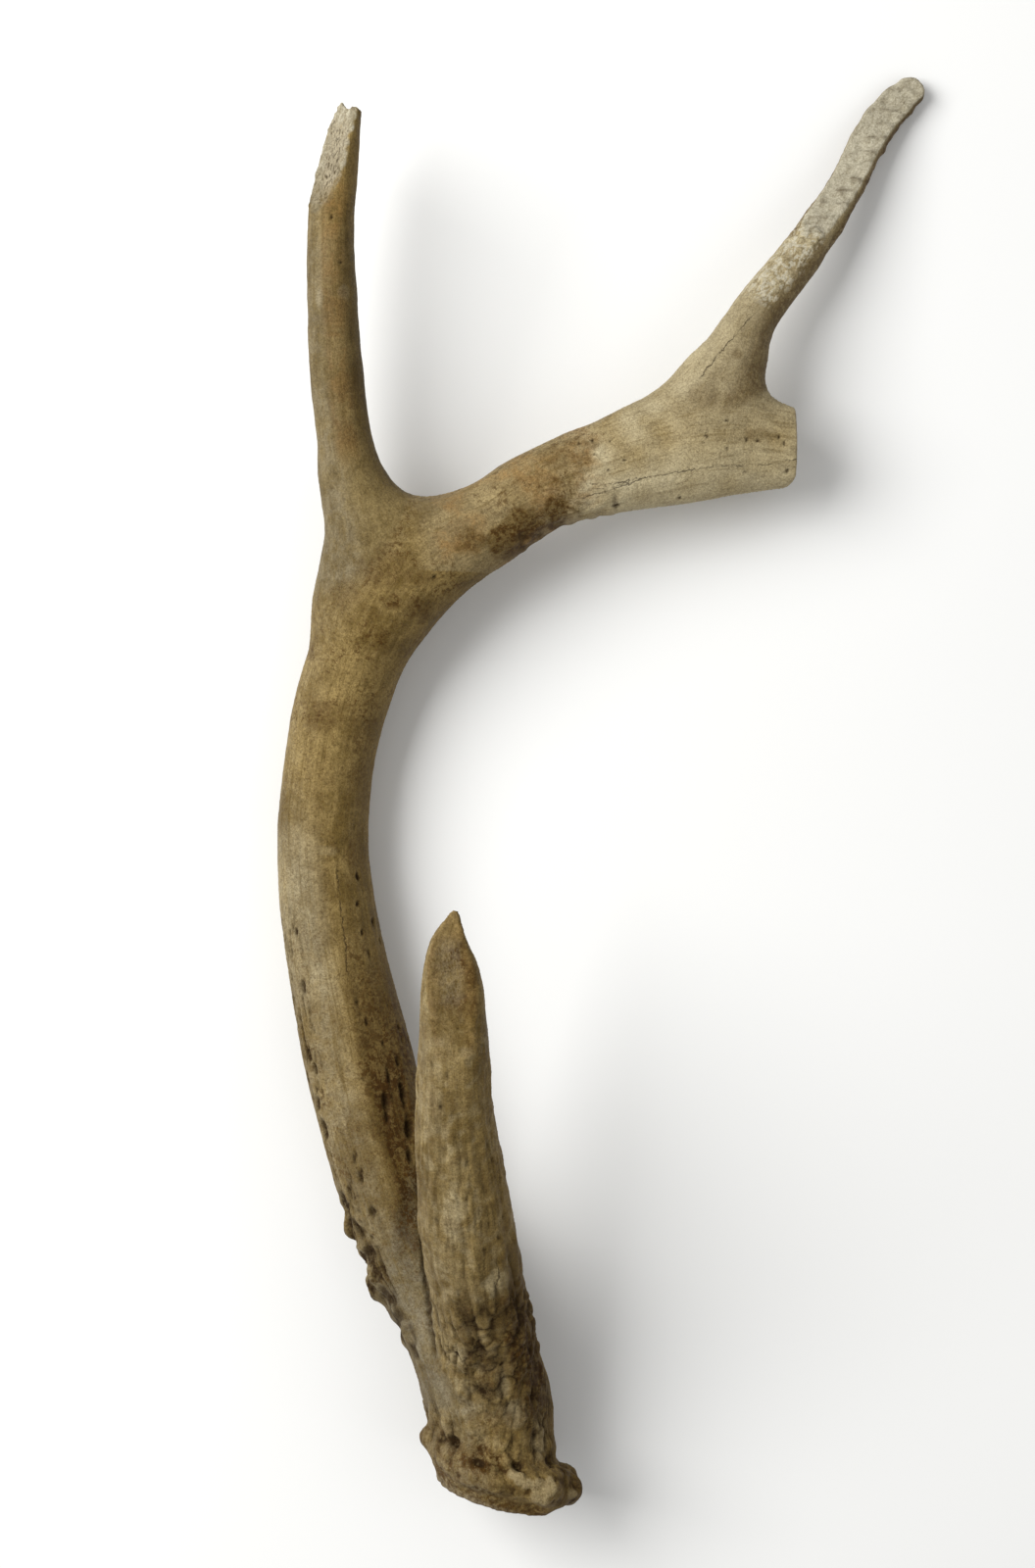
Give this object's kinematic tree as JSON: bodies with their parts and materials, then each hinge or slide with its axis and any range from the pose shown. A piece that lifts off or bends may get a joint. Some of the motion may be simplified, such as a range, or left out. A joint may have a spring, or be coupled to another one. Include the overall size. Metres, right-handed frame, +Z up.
{
  "type": "deer antler",
  "caption": "Shed deer antler lying on its outer side: a knobbly burr, a bowed beam with brow, second and third tines, and a sawn beam end.",
  "frame": {"origin": "on the surface that the antler lies on, under the middle of its bounding box", "axes": "+Z up, away from that surface; +Y along the antler from the burr to the tips; +X towards the sawn end of the beam"},
  "size_m": [0.2142, 0.4696, 0.1073],
  "materials": {
    "antler_bone": "matte weathered antler, olive tan mottled with brown, ridged and pearled",
    "bleached_bone": "matte bleached antler, pale cream, gnawed in shallow scallops"
  },
  "bodies": {
    "root": {"burr_base": "antler_bone", "mid_beam": "antler_bone", "brow_tine": "antler_bone", "second_tine": "antler_bone", "upper_beam": "antler_bone", "third_tine": "bleached_bone"}
  },
  "joints": []
}
